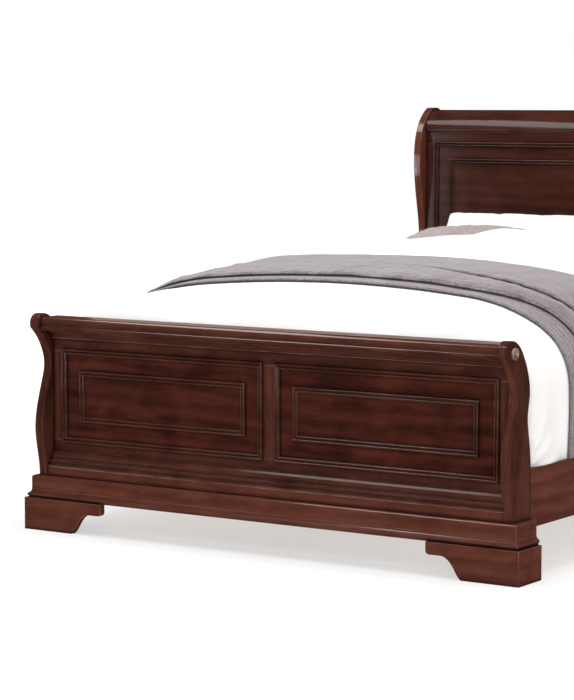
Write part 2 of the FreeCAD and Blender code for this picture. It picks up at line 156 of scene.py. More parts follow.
softbox("key_overhead", (0.2, -0.9, 3.4), (0.0, -0.4, 0.0), (2.6, 1.6), 6.5, (1.0, 0.985, 0.97))
softbox("fill_front", (2.3, -5.8, 2.4), (0.0, -1.0, 0.4), (3.0, 2.4), 3.6, (1.0, 0.985, 0.97))
softbox("fill_right", (4.6, -0.8, 2.2), (0.0, -0.2, 0.4), (2.6, 2.4), 1.35, (1.0, 0.98, 0.97))
softbox("fill_left", (-4.4, -1.0, 2.0), (0.0, 0.0, 0.5), (2.4, 2.4), 1.9, (0.98, 0.98, 1.0))
softbox("strip_above", (-1.9, -1.7, 3.4), (0.0, -1.1, 0.5), (3.2, 0.95), 23.0, (1.0, 0.94, 0.92), True)
softbox("strip_left", (-3.4, -2.9, 0.62), (0.0, -1.1, 0.4), (0.45, 1.2), 42.0, (0.90, 0.91, 1.0), True)
softbox("strip_right", (3.0, -3.3, 0.62), (0.6, -1.1, 0.4), (0.3, 1.2), 40.0, (1.0, 0.95, 0.93), True)

world = bpy.data.worlds.new("studio")
bpy.context.scene.world = world
world.use_nodes = True
tree = world.node_tree
tree.nodes.clear()
direction = add_node(tree, "TexCoord")
up = add_node(tree, "SeparateXYZ", {"Vector": direction.outputs["Generated"]})
height = add_node(tree, "MapRange", {"Value": up.outputs["Z"], "From Min": -1.0, "From Max": 1.0})


def dome(low, high):
    """A sky that is low below the horizon and high overhead."""
    ramp = add_node(tree, "ValToRGB", {"Fac": height.outputs["Result"]})
    ramp.color_ramp.elements[0].position, ramp.color_ramp.elements[1].position = 0.46, 0.85
    ramp.color_ramp.elements[0].color = (low, low, low, 1)
    ramp.color_ramp.elements[1].color = (high, high, high, 1)
    return add_node(tree, "Background", {"Color": ramp.outputs["Color"]}).outputs[0]


ray = add_node(tree, "LightPath")
backdrop = add_node(tree, "Background", {"Color": (1, 1, 1, 1)}).outputs[0]
room = add_node(tree, "MixShader", {0: ray.outputs["Is Glossy Ray"], 1: dome(0.45, 0.75),
                                    2: dome(0.06, 0.22)})
sky = add_node(tree, "MixShader", {0: ray.outputs["Is Camera Ray"], 1: room.outputs[0], 2: backdrop})
add_node(tree, "OutputWorld", {"Surface": sky.outputs[0]})
bpy.context.scene.view_settings.view_transform = "Standard"

camera_data = bpy.data.cameras.new("camera")
camera_data.lens = 130.69
camera_data.clip_end = 60
camera = bpy.data.objects.new("camera", camera_data)
camera.location = (3.9283, -6.8894, 1.2615)
camera.rotation_euler = (math.radians(90 - 5.65), 0, math.radians(33.702))
bpy.context.scene.collection.objects.link(camera)
bpy.context.scene.camera = camera


# Cherry frame: solid rails, posts, mouldings and veneered panels in a dark red-brown stain
# under satin lacquer. The corners of mouldings are darkened as painted shade, and arrises are
# lightened as painted highlights.
def new_group(name, inputs, outputs):
    """A shader node group with named sockets, its input node and its output node."""
    group = bpy.data.node_groups.new(name, "ShaderNodeTree")
    for socket, kind, value in inputs:
        made = group.interface.new_socket(socket, in_out="INPUT", socket_type="NodeSocket" + kind)
        if value is not None:
            made.default_value = value
    for socket, kind in outputs:
        group.interface.new_socket(socket, in_out="OUTPUT", socket_type="NodeSocket" + kind)
    return group, group.nodes.new("NodeGroupInput"), group.nodes.new("NodeGroupOutput")


def math_node(tree, operation, a, b=0.0, c=0.0, clamp=False):
    """One Math node's result."""
    made = add_node(tree, "Math", {0: a, 1: b, 2: c}, operation=operation, use_clamp=clamp)
    return made.outputs[0]


def mix_colour(tree, amount, a, b, blend="MIX"):
    """One colour Mix node's result."""
    made = add_node(tree, "Mix", {0: amount, 6: a, 7: b}, data_type="RGBA", blend_type=blend)
    return made.outputs[2]


def stretched_noise(tree, vector, stretch, scale, detail, distortion=0.0):
    """Noise drawn out along X: the across-grain directions are squeezed by the factor stretch."""
    squeezed = add_node(tree, "VectorMath", {0: vector, 1: (1, stretch, stretch)},
                        operation="MULTIPLY")
    noise = add_node(tree, "TexNoise", {"Vector": squeezed.outputs[0], "Scale": scale,
                                        "Detail": detail, "Distortion": distortion})
    return noise.outputs["Fac"]


# Grain along X: long streaks, fine pores, a flowing crown figure and blotches of stain.
grain, given, result = new_group(
    "cherry_grain",
    [("Vector", "Vector", None), ("Dark", "Color", (0.02, 0.006, 0.004, 1)),
     ("Light", "Color", (0.10, 0.03, 0.018, 1)), ("Figure", "Float", 0.5)],
    [("Color", "Color"), ("Height", "Float"), ("Roughness", "Float")])
streaks = stretched_noise(grain, given.outputs["Vector"], 7.0, 9.0, 6.0, 0.4)
pores = stretched_noise(grain, given.outputs["Vector"], 26.0, 26.0, 3.0)
blotch = stretched_noise(grain, given.outputs["Vector"], 1.25, 6.5, 5.0, 0.8)
squeezed = add_node(grain, "VectorMath", {0: given.outputs["Vector"], 1: (0.7, 4.0, 4.0)},
                    operation="MULTIPLY")
crown = add_node(grain, "TexWave", {"Vector": squeezed.outputs[0], "Scale": 1.6, "Distortion": 9.0,
                                    "Detail": 4.0, "Detail Scale": 0.7, "Detail Roughness": 0.65},
                 bands_direction="Z")
figure = math_node(grain, "MULTIPLY", math_node(grain, "SUBTRACT", crown.outputs["Fac"], 0.5),
                   given.outputs["Figure"])
tone = math_node(grain, "MULTIPLY_ADD", streaks, 0.6, figure)
tone = math_node(grain, "MULTIPLY_ADD", pores, 0.45, tone)
tone = math_node(grain, "MULTIPLY_ADD", blotch, 0.9, tone)
tone = add_node(grain, "MapRange", {"Value": tone, "From Min": 0.62, "From Max": 1.33},
                interpolation_type="SMOOTHSTEP").outputs["Result"]
grain.links.new(mix_colour(grain, tone, given.outputs["Dark"], given.outputs["Light"]),
                result.inputs["Color"])
fine = math_node(grain, "MULTIPLY", streaks, 0.3)
grain.links.new(math_node(grain, "MULTIPLY_ADD", pores, 0.7, fine), result.inputs["Height"])
dull = math_node(grain, "MULTIPLY_ADD", pores, 0.1, 0.19)
grain.links.new(math_node(grain, "MULTIPLY_ADD", blotch, 0.16, dull), result.inputs["Roughness"])

# Painted highlights on arrises and painted shade in corners. Rounded is the normal of the softened edge,
# and
# Open is how open the place is. Where the softened normal leans from the true one is an arris.
edge_highlight_and_shade, given, result = new_group(
    "painted_arris_highlight_and_corner_shade",
    [("Color", "Color", (0.05, 0.02, 0.01, 1)), ("Rounded", "Vector", None), ("Open", "Float", 1.0),
     ("Painted highlight", "Color", (0.48, 0.325, 0.28, 1)), ("Painted highlight amount", "Float", 0.5), ("Painted corner shade", "Float", 1.5)],
    [("Color", "Color")])
true_normal = add_node(edge_highlight_and_shade, "NewGeometry").outputs["Normal"]
lean = add_node(edge_highlight_and_shade, "VectorMath", {0: given.outputs["Rounded"], 1: true_normal},
                operation="DOT_PRODUCT").outputs["Value"]
turned = math_node(edge_highlight_and_shade, "SUBTRACT", 1.0, lean)
edge = add_node(edge_highlight_and_shade, "MapRange", {"Value": turned, "From Min": 0.02,
                                   "From Max": 0.20}).outputs["Result"]
ridge = add_node(edge_highlight_and_shade, "MapRange", {"Value": given.outputs["Open"], "From Min": 0.62,
                                    "From Max": 0.86}).outputs["Result"]
patchy = add_node(edge_highlight_and_shade, "TexNoise", {"Vector": add_node(edge_highlight_and_shade, "TexCoord").outputs["Object"],
                                     "Scale": 14.0, "Detail": 3.0}).outputs["Fac"]
patchy = add_node(edge_highlight_and_shade, "MapRange", {"Value": patchy, "From Min": 0.22,
                                     "From Max": 0.60}).outputs["Result"]
# amount: where an arris takes the light painted highlight colour, in patches.
amount = math_node(edge_highlight_and_shade, "MULTIPLY", math_node(edge_highlight_and_shade, "MULTIPLY", edge, ridge),
                   math_node(edge_highlight_and_shade, "MULTIPLY", patchy, given.outputs["Painted highlight amount"]))
# Painted shade: the colour goes towards near black where ambient occlusion finds a corner.
painted_corner_shade = math_node(edge_highlight_and_shade, "MULTIPLY", math_node(edge_highlight_and_shade, "SUBTRACT", 1.0, given.outputs["Open"]),
                   given.outputs["Painted corner shade"], clamp=True)
colour = mix_colour(edge_highlight_and_shade, painted_corner_shade, given.outputs["Color"], (0.006, 0.002, 0.002, 1))
edge_highlight_and_shade.links.new(mix_colour(edge_highlight_and_shade, amount, colour, given.outputs["Painted highlight"]), result.inputs["Color"])

ALONG_X = (0.0, 0.0, 0.0)
ALONG_Y = (0.0, 0.0, math.radians(90))
ALONG_Z = (0.0, math.radians(90), 0.0)


def cherry(name, along, dark, light, figure, arris_highlight_amount=0.5, lacquer=0.26):
    """Stained and lacquered cherry with its grain along one axis of the bed, painted highlights on its
    arrises and painted shade in its corners.
    """
    material, tree = new_material(name)
    place = add_node(tree, "TexCoord").outputs["Object"]
    turned = add_node(tree, "Mapping", {"Vector": place, "Rotation": along}).outputs["Vector"]
    wood = add_node(tree, "Group", {"Vector": turned, "Dark": (*dark, 1), "Light": (*light, 1),
                                    "Figure": figure}, node_tree=grain)
    rounded = add_node(tree, "Bevel", {"Radius": 0.0026}, samples=6).outputs["Normal"]
    open_air = add_node(tree, "AmbientOcclusion", {"Distance": 0.012}, samples=6).outputs["AO"]
    highlighted_colour = add_node(tree, "Group", {"Color": wood.outputs["Color"], "Rounded": rounded,
                                    "Open": open_air, "Painted highlight amount": arris_highlight_amount}, node_tree=edge_highlight_and_shade)
    shade(tree, highlighted_colour.outputs["Color"], wood.outputs["Roughness"], wood.outputs["Height"], rounded,
          strength=0.12, depth=0.0006, Specular_IOR_Level=0.0, Coat_Weight=lacquer,
          Coat_Roughness=0.11, Coat_IOR=1.5)
    return material


# The base colours are a lighter copy of the rail cherry, painted light, used for the plinth, bracket feet,
# side rails and headboard posts. The head colours are a darker copy, painted shade, for the headboard's
# panels, rails, mouldings and stiles.
RAIL_DARK, RAIL_LIGHT = (0.036, 0.0112, 0.0074), (0.090, 0.0295, 0.0190)
PANEL_DARK, PANEL_LIGHT = (0.022, 0.0056, 0.0036), (0.074, 0.0180, 0.0110)
LIT_BASE_DARK, LIT_BASE_LIGHT = (0.066, 0.0195, 0.0125), (0.124, 0.0385, 0.0250)
SHADED_HEAD_DARK, SHADED_HEAD_LIGHT = (0.024, 0.0075, 0.0052), (0.054, 0.0165, 0.0108)
finishes = {
    "panel": cherry("cherry_veneer", ALONG_X, PANEL_DARK, PANEL_LIGHT, 0.2, 0.5),
    "field": cherry("cherry_rail", ALONG_X, RAIL_DARK, RAIL_LIGHT, 0.2, 0.6),
    "base": cherry("cherry_base", ALONG_X, LIT_BASE_DARK, LIT_BASE_LIGHT, 0.2, 0.6),
    "moulding": cherry("cherry_moulding", ALONG_X, RAIL_DARK, RAIL_LIGHT, 0.15, 1.0),
    "step": cherry("cherry_step", ALONG_X, RAIL_DARK, RAIL_LIGHT, 0.15, 1.0, 0.11),
    "upright": cherry("cherry_upright", ALONG_Z, RAIL_DARK, RAIL_LIGHT, 0.3),
    "long": cherry("cherry_side_rail", ALONG_Y, LIT_BASE_DARK, LIT_BASE_LIGHT, 0.35),
    "head_panel": cherry("cherry_head_veneer", ALONG_X, SHADED_HEAD_DARK, SHADED_HEAD_LIGHT, 0.2, 0.5, 0.12),
    "head_field": cherry("cherry_head_rail", ALONG_X, SHADED_HEAD_DARK, SHADED_HEAD_LIGHT, 0.2, 0.8, 0.14),
    "head_upright": cherry("cherry_head_upright", ALONG_Z, SHADED_HEAD_DARK, SHADED_HEAD_LIGHT, 0.2, 0.6, 0.12),
    "head_post": cherry("cherry_head_post", ALONG_Z, LIT_BASE_DARK, LIT_BASE_LIGHT, 0.3),
}
finish_of = {
    "panel": ["footboard_panel_left", "footboard_panel_right"],
    "field": ["footboard_top_rail", "footboard_bottom_rail", "footboard_back"],
    "upright": ["footboard_post_left", "footboard_post_right", "footboard_centre_stile",
                "footboard_stile_left", "footboard_stile_right"],
    "moulding": ["footboard_crest_rail", "footboard_crest_cove", "footboard_outer_beading",
                 "footboard_inner_beading"],
    "step": ["footboard_step_moulding"],
    "base": ["footboard_lower_board", "footboard_plinth_front", "footboard_plinth_return_left",
             "footboard_plinth_return_right", "footboard_base_moulding", "bracket_foot_left",
             "bracket_foot_right"],
    "long": ["side_rail_left", "side_rail_right"],
    "head_panel": ["headboard_panel_left", "headboard_panel_right"],
    "head_field": ["headboard_top_rail", "headboard_bottom_rail", "headboard_crest_rail",
                   "headboard_crest_cove", "headboard_lower_board", "headboard_outer_beading",
                   "headboard_inner_beading"],
    "head_post": ["headboard_post_left", "headboard_post_right"],
    "head_upright": ["headboard_centre_stile", "headboard_stile_left", "headboard_stile_right"],
}


def dress(names, material):
    """Gives CAD nodes one material in all their slots."""
    for name in names:
        mesh = nodes[name].data
        mesh.materials.clear()
        mesh.materials.append(material)


for finish, names in finish_of.items():
    dress(names, finishes[finish])

# Rosettes: turned and carved cherry buttons glued on the ends of the scrolls. Each has a raised
# rim, a ring of eight petals and a small domed eye. Its wood is coloured much lighter than the frame's,
# and its hollows are darkened as painted shade.
ROSETTE_PETALS = 8

rosette_material, tree = new_material("light_rosette_cherry")
place = add_node(tree, "TexCoord").outputs["Object"]
wood = add_node(tree, "Group", {"Vector": place, "Dark": (0.16, 0.085, 0.07, 1),
                                "Light": (0.42, 0.27, 0.23, 1)}, node_tree=grain)
# Painted shade: the colour goes towards near black in the hollows that ambient occlusion finds.
hollow = add_node(tree, "AmbientOcclusion", {"Distance": 0.004}, samples=6).outputs["AO"]
hollow = add_node(tree, "MapRange", {"Value": hollow, "From Min": 0.35,
                                     "From Max": 0.95}).outputs["Result"]
shaded_in_hollows = mix_colour(tree, hollow, (0.03, 0.011, 0.009, 1), wood.outputs["Color"])
shade(tree, shaded_in_hollows, 0.35, wood.outputs["Height"], strength=0.1, depth=0.0005, Coat_Weight=0.3)


def carved_button(centre_y, centre_z, radius, back_x, side):
    """Points of a carved button on polar rings: its height over the back is a dome in the middle,
    petals whose height follows |cos(4 angle)|, and a round rim, falling to the back at the edge."""
    share, angle = np.meshgrid(np.linspace(0, 1, 34), np.linspace(0, 2 * np.pi, 97))
    petal = np.abs(np.cos(angle * ROSETTE_PETALS / 2)) ** 0.7
    dome = 0.0035 * np.sqrt(np.clip(1 - (share / 0.24) ** 2, 0, 1))
    swell = np.clip(np.sin(np.pi * (share - 0.26) / 0.42), 0, 1)
    ring = 0.0028 * petal * swell * (share > 0.26) * (share < 0.68)
    rim = 0.0030 * np.sqrt(np.clip(1 - ((share - 0.84) / 0.14) ** 2, 0, 1))
    height = 0.0020 + dome + ring + rim
    height = np.where(share > 0.985, 0.0, height)
    y = centre_y + radius * share * np.cos(angle)
    z = centre_z + radius * share * np.sin(angle)
    return np.stack([side * (back_x + height), y, z], axis=-1)


def faces_outward(piece, merge=0.0):
    """Turns a piece's faces outward, after merging points that are closer than merge."""
    shell = bmesh.new()
    shell.from_mesh(piece.data)
    if merge:
        bmesh.ops.remove_doubles(shell, verts=shell.verts, dist=merge)
    bmesh.ops.recalc_face_normals(shell, faces=shell.faces)
    shell.to_mesh(piece.data)
    shell.free()


def closed_piece(name, grids, material):
    """One piece from several grids of points, their touching edges merged and normals outward."""
    points, faces, first = [], [], 0
    for grid in grids:
        rows, columns = grid.shape[:2]
        points.append(grid.reshape(-1, 3))
        faces.append(grid_faces(rows, columns, first))
        first += rows * columns
    piece = new_piece(name, np.concatenate(points), np.concatenate(faces), material)
    faces_outward(piece, merge=2e-5)
    piece.data.polygons.foreach_set("use_smooth", np.ones(len(piece.data.polygons), bool))
    return piece


for end in ("footboard", "headboard"):
    low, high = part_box(end + "_rosettes")
    radius = (high.z - low.z) / 2
    middle = ((low.y + high.y) / 2, (low.z + high.z) / 2)
    back_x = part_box(end + "_post_right")[1].x
    for side, word in ((-1, "left"), (1, "right")):
        button = closed_piece(end + "_rosette_" + word,
                              [carved_button(*middle, radius, back_x, side)], rosette_material)
        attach(button, "frame")
        if side > 0:
            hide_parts(end + "_rosettes")

# Slats, cleats, beam and glue blocks: plain planed pine, unfinished, with soft growth rings.
# Screws, hooks: zinc-plated steel.
pine, tree = new_material("planed_pine")
place = add_node(tree, "TexCoord").outputs["Object"]
wood = add_node(tree, "Group", {"Vector": place, "Dark": (0.40, 0.24, 0.11, 1),
                                "Light": (0.66, 0.47, 0.27, 1), "Figure": 0.9}, node_tree=grain)
shade(tree, wood.outputs["Color"], 0.6, wood.outputs["Height"], strength=0.2, depth=0.0008)
dress(["slats", "slat_cleat_left", "slat_cleat_right", "centre_beam", "centre_legs",
       "foot_glue_blocks"], pine)

steel, tree = new_material("zinc_plate")
place = add_node(tree, "TexCoord").outputs["Object"]
spangle = add_node(tree, "TexVoronoi", {"Vector": place, "Scale": 260.0}).outputs["Color"]
brushed = stretched_noise(tree, place, 20.0, 90.0, 2.0)
plate = mix_colour(tree, 0.2, (0.55, 0.56, 0.57, 1), spangle, "SOFT_LIGHT")
rough = math_node(tree, "MULTIPLY_ADD", brushed, 0.25, 0.25)
shade(tree, plate, rough, brushed, strength=0.1, depth=0.0002, Metallic=1.0)
dress(["rail_hook_plates", "slat_screws"], steel)

# Foundation: a low box spring on the slats, a wooden box padded and covered in pale ticking,
# with a taped edge top and bottom and a border of woven stripes. It lies loose on the slats.
cloth, given, result = new_group(
    "woven_cloth",
    [("Vector", "Vector", None), ("Threads", "Float", 900.0), ("Slub", "Float", 0.5)],
    [("Height", "Float"), ("Shade", "Float")])
warp = add_node(cloth, "TexWave", {"Vector": given.outputs["Vector"], "Scale": given.outputs["Threads"],
                                   "Distortion": 1.2, "Detail": 1.0}, bands_direction="X")
weft = add_node(cloth, "TexWave", {"Vector": given.outputs["Vector"], "Scale": given.outputs["Threads"],
                                   "Distortion": 1.2, "Detail": 1.0}, bands_direction="Y")
fuzz = add_node(cloth, "TexNoise", {"Vector": given.outputs["Vector"], "Scale": 160.0, "Detail": 4.0})
crossed = math_node(cloth, "MULTIPLY", warp.outputs["Fac"], weft.outputs["Fac"])
cloth.links.new(math_node(cloth, "MULTIPLY_ADD", fuzz.outputs["Fac"], given.outputs["Slub"],
                          math_node(cloth, "MULTIPLY", crossed, 0.5)), result.inputs["Height"])
cloth.links.new(fuzz.outputs["Fac"], result.inputs["Shade"])


def cloth_material(name, dark, light, threads, slub, roughness, strength, sheen, pattern=None):
    """Woven cloth: two colours mixed by its fuzz, thread bumps and a soft sheen."""
    material, tree = new_material(name)
    place = add_node(tree, "TexCoord").outputs["Object"]
    woven = add_node(tree, "Group", {"Vector": place, "Threads": threads, "Slub": slub},
                     node_tree=cloth)
    patch = add_node(tree, "MapRange", {"Value": woven.outputs["Shade"], "From Min": 0.35,
                                        "From Max": 0.65}).outputs["Result"]
    colour = mix_colour(tree, patch, (*dark, 1), (*light, 1))
    if pattern is not None:
        colour = pattern(tree, place, colour)
    shade(tree, colour, roughness, woven.outputs["Height"], strength=strength, depth=0.0006,
          Sheen_Weight=sheen, Sheen_Roughness=0.5, Specular_IOR_Level=0.2)
    return material


def striped(tree, place, colour):
    """Thin grey-blue diagonal stripes of ticking."""
    lines = add_node(tree, "TexWave", {"Vector": place, "Scale": 12.0}, bands_direction="DIAGONAL")
    thin = add_node(tree, "MapRange", {"Value": lines.outputs["Fac"], "From Min": 0.90,
                                       "From Max": 0.96}).outputs["Result"]
    return mix_colour(tree, math_node(tree, "MULTIPLY", thin, 0.5), colour, (0.36, 0.40, 0.46, 1))


def smooth_step(value, start, end):
    """0 before start, 1 after end, and an S-shaped rise between."""
    share = np.clip((value - start) / (end - start), 0, 1)
    return share * share * (3 - 2 * share)


def ripples(points, seed, wavelength, waves=14):
    """Soft random hills, mostly from -1 to 1: cosines in random directions, each within 40% of the
    wavelength, summed and divided by the root of their number."""
    random = np.random.default_rng(seed)
    turns = random.normal(size=(waves, 3))
    turns /= np.linalg.norm(turns, axis=1, keepdims=True)
    pace = 2 * np.pi / (wavelength * random.uniform(0.7, 1.4, (waves, 1)))
    phase = random.uniform(0, 2 * np.pi, waves)
    return np.cos(points @ (turns * pace).T + phase).sum(-1) / math.sqrt(waves)


def padded_block(count, low, high, corner, profile, dent=None):
    """A closed block on a square grid folded over it. m = max(|s|, |t|) says how far out a point
    is. profile rows are (m, scale of the plan, inset from its sides, height share): the plan is a
    rectangle with rounded corners, shrunk by scale and inset. Both halves meet at m = 1."""
    line = np.linspace(-1, 1, count)
    s, t = np.meshgrid(line, line)
    m = np.maximum(np.abs(s), np.abs(t))
    safe = np.maximum(m, 1e-9)
    half = np.array([(high[0] - low[0]) / 2, (high[1] - low[1]) / 2])
    middle = (np.array(low) + np.array(high)) / 2
    grids = []
    for rows in profile:
        knots = np.array(rows).T
        scale, inset, height = (np.interp(m, knots[0], knots[k]) for k in (1, 2, 3))
        x = s / safe * scale * (half[0] - inset)
        y = t / safe * scale * (half[1] - inset)
        inner_x = np.maximum(half[0] - corner, 0) * scale
        inner_y = np.maximum(half[1] - corner, 0) * scale
        base_x, base_y = np.clip(x, -inner_x, inner_x), np.clip(y, -inner_y, inner_y)
        out_x, out_y = x - base_x, y - base_y
        reach = np.maximum(np.abs(out_x), np.abs(out_y))
        size = np.maximum(np.hypot(out_x, out_y), 1e-9)
        x, y = base_x + out_x / size * reach, base_y + out_y / size * reach
        z = low[2] + height * (high[2] - low[2])
        grid = np.stack([x + middle[0], y + middle[1], z], axis=-1)
        grids.append(grid if dent is None else dent(grid, m))
    return grids


def edge_rows(tall, radius_top, radius_bottom):
    """Profile rows for padded_block: a flat top and bottom, rounded edges and upright sides."""
    quarter = np.radians(np.linspace(0, 90, 7))
    halves = []
    for radius, top in ((radius_top, True), (radius_bottom, False)):
        rows = [(0.0, 0.0, radius, 1.0), (0.80, 1.0, radius, 1.0)]
        for k, angle in enumerate(quarter[1:], 1):
            rows.append((0.80 + 0.12 * k / 6, 1.0, radius * (1 - math.sin(angle)),
                         1 - radius * (1 - math.cos(angle)) / tall))
        rows.append((1.0, 1.0, 0.0, 0.5))
        halves.append(rows if top else [(m, a, b, 1 - h) for m, a, b, h in rows])
    return halves


def tube_round(low, high, inset, corner, z, radius, bends=10, sides=8):
    """A closed tube carried round a rounded rectangle: straight sides joined by quarter arcs."""
    corners = []
    plan = ((high[0], high[1]), (low[0], high[1]), (low[0], low[1]), (high[0], low[1]))
    for k, (x, y) in enumerate(plan):
        sign = np.array([1 if x == high[0] else -1, 1 if y == high[1] else -1])
        hub = np.array([x, y]) - sign * (inset + corner)
        angles = np.radians(90 * k + np.linspace(0, 90, bends))
        corners.append(hub + corner * np.stack([np.cos(angles), np.sin(angles)], axis=-1))
    path = np.concatenate(corners)
    gaps = np.roll(path, -1, axis=0) - path
    steps = [path[i] + gaps[i] * k / n for i in range(len(path))
             for n in [max(1, int(np.linalg.norm(gaps[i]) / 0.03))] for k in range(n)]
    path = np.array(steps + steps[:1])
    forward = np.roll(path[:-1], -1, axis=0) - np.roll(path[:-1], 1, axis=0)
    forward = np.concatenate([forward, forward[:1]])
    forward /= np.linalg.norm(forward, axis=1, keepdims=True)
    out = np.stack([forward[:, 1], -forward[:, 0]], axis=-1)
    turn = np.linspace(0, 2 * np.pi, sides + 1)
    ring_xy = path[:, None] + out[:, None] * radius * np.cos(turn)[None, :, None]
    ring_z = np.broadcast_to(z + radius * np.sin(turn), ring_xy.shape[:2])
    return np.concatenate([ring_xy, ring_z[..., None]], axis=-1)


def lower_and_upper(node, inset):
    """A node's box as plain lists, drawn in by inset in the plan."""
    low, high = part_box(node)
    return [low.x + inset, low.y + inset, low.z], [high.x - inset, high.y - inset, high.z]


TAPE_RADIUS = 0.005
foundation_cloth = cloth_material("foundation_ticking", (0.60, 0.58, 0.54), (0.70, 0.68, 0.64), 420.0,
                                  0.5, 0.9, 0.3, 0.1, striped)
tape_cloth = cloth_material("edge_tape", (0.72, 0.71, 0.69), (0.80, 0.79, 0.77), 700.0, 0.4, 0.7, 0.3, 0.1)
low, high = lower_and_upper("foundation", 0.002)


def bowed(grid, m):
    """Ticking drawn over a frame: the sides dip 3 mm between the taped edges."""
    share = (grid[..., 2] - low[2]) / (high[2] - low[2])
    dip = 0.003 * np.sin(np.pi * share) * (m > 0.9)
    centre = (np.array(low) + np.array(high)) / 2
    grid[..., :2] -= np.sign(grid[..., :2] - centre[:2]) * dip[..., None] * 0.7
    return grid


foundation = closed_piece("foundation_cover", padded_block(
    90, low, high, 0.03, edge_rows(high[2] - low[2], 0.012, 0.012), bowed), foundation_cloth)
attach(foundation, "foundation")
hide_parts("foundation")
for word, z in (("top", high[2] - 0.012), ("bottom", low[2] + 0.012)):
    tape = closed_piece("foundation_tape_" + word,
                        [tube_round(low, high, 0.002, 0.028, z, TAPE_RADIUS)], tape_cloth)
    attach(tape, "foundation")

# Mattress: pocket springs and foam in a knitted cover, its top and bottom panels quilted in
# diamonds, its border plain with a taped edge at each panel. It lies loose on the foundation.
QUILT_PITCH = 0.150
SHOULDER = 0.110
mattress_cloth = cloth_material("mattress_ticking", (0.74, 0.73, 0.71), (0.83, 0.82, 0.80), 520.0, 0.6,
                                0.85, 0.35, 0.25)
low, high = lower_and_upper("mattress", 0.003)


def diamonds(grid, m):
    """The panels sink 7 mm along a net of diagonal stitch lines, narrow and soft."""
    x, y = grid[..., 0], grid[..., 1]
    sink = np.zeros_like(x)
    for mixed in (x + y, x - y):
        off_line = np.abs((mixed / QUILT_PITCH) % 1 - 0.5) * QUILT_PITCH
        sink = np.maximum(sink, np.exp(-(off_line / 0.014) ** 2))
    middle = (low[2] + high[2]) / 2
    grid[..., 2] -= np.sign(grid[..., 2] - middle) * 0.007 * sink * (1 - smooth_step(m, 0.78, 0.84))
    return grid


mattress = closed_piece("mattress_cover", padded_block(
    230, low, high, 0.07, edge_rows(high[2] - low[2], SHOULDER, 0.03), diamonds), mattress_cloth)
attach(mattress, "mattress")
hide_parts("mattress")
for word, z, inset in (("top", high[2] - SHOULDER * 0.96, 0.001), ("bottom", low[2] + 0.026, 0.0)):
    tape = closed_piece("mattress_tape_" + word,
                        [tube_round(low, high, inset, 0.07, z, TAPE_RADIUS)], tape_cloth)
    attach(tape, "mattress")

# Quilt: a thick white down quilt in plain cotton. It hangs to the rails at both sides, where its
# hems sink 8 mm into their tops, is tucked between mattress and footboard at the foot, and ends in
# a soft roll below the pillows.
QUILT_HALF = 0.785
HEM_HEIGHT = 0.284
SHOULDER_DROP = 0.223
SHOULDER_WIDTH = 0.385
SHOULDER_POWER = 3.1
SIDE_HANG = 0.237
FOOT_WALL_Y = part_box("quilt")[0].y + 0.008
HEAD_WALL_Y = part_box("quilt")[1].y + 0.010
BED_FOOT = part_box("mattress")[0].y
MATTRESS_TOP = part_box("mattress")[1].z
# Height of the crown and droop of the sides, at distances from the mattress's foot end.
CROWN_AT = (-0.02, 0.07, 0.12, 0.25, 0.43, 0.65, 0.82, 0.97, 1.32, 1.49, 1.57)
CROWN = (0.700, 0.715, 0.722, 0.737, 0.752, 0.762, 0.770, 0.780, 0.800, 0.812, 0.806)
DROOP = (0.030, 0.047, 0.055, 0.071, 0.062, 0.045, 0.030, 0.010, 0.020, 0.035, 0.035)


def run_along(points):
    """The length of a line at each of its points, from 0 at the first."""
    return np.concatenate([[0], np.cumsum(np.linalg.norm(np.diff(points, axis=0), axis=1))])


def even_steps(points, count):
    """The same line through points (n, 2), with count points evenly spaced along it."""
    run = run_along(points)
    at = np.linspace(0, run[-1], count)
    return np.stack([np.interp(at, run, points[:, k]) for k in (0, 1)], axis=-1)


def shoulder(start, end, drop, power, count=40):
    """A quarter of a superellipse as (place, drop): it starts level at start and ends upright at
    end, after falling by drop."""
    angle = np.radians(np.linspace(0, 90, count))
    place = start + (end - start) * np.sin(angle) ** (2 / power)
    return np.stack([place, drop * (1 - np.cos(angle) ** (2 / power))], axis=-1)


def side_line(half, width, drop, power, hang, tuck, count):
    """Half a section across the bed as (x, drop): level, a shoulder, then down to the hem, which
    is drawn in by tuck."""
    fall = np.linspace(0.01, 1, 12)
    hanging = np.stack([half - tuck * fall ** 2, drop + hang * fall], axis=-1)
    curve = np.concatenate([[[0, 0]], shoulder(half - width, half, drop, power), hanging])
    return even_steps(curve, count)


def both_sides(half_line):
    """A half section and its mirror image, from the left hem to the right hem."""
    return np.concatenate([half_line[:0:-1] * (-1, 1), half_line])


def soft_interp(at, knots, values, width=0.06):
    """Straight-line interpolation averaged over a short stretch, so that it has no corners."""
    shifts = np.linspace(-width, width, 9)
    return np.mean([np.interp(at + shift, knots, values) for shift in shifts], axis=0)


def made_bed(section, y):
    """The quilt's smooth upper surface at the columns of a section and at any y: the crown's
    height, and the section's drop with the droop of the sides, which grows with x squared. Only
    the part that hangs below the shoulder is scaled, so that the hem is level."""
    x, drop = section[:, 0], section[:, 1]
    crown = soft_interp(y - BED_FOOT, CROWN_AT, CROWN)
    droop = soft_interp(y - BED_FOOT, CROWN_AT, DROOP)
    over = np.minimum(drop, SHOULDER_DROP) + droop * (x / QUILT_HALF) ** 2
    hanging = np.clip((drop - SHOULDER_DROP) / (drop[-1] - SHOULDER_DROP), 0, 1)
    return crown, over + hanging * (crown - HEM_HEIGHT - SHOULDER_DROP - droop)


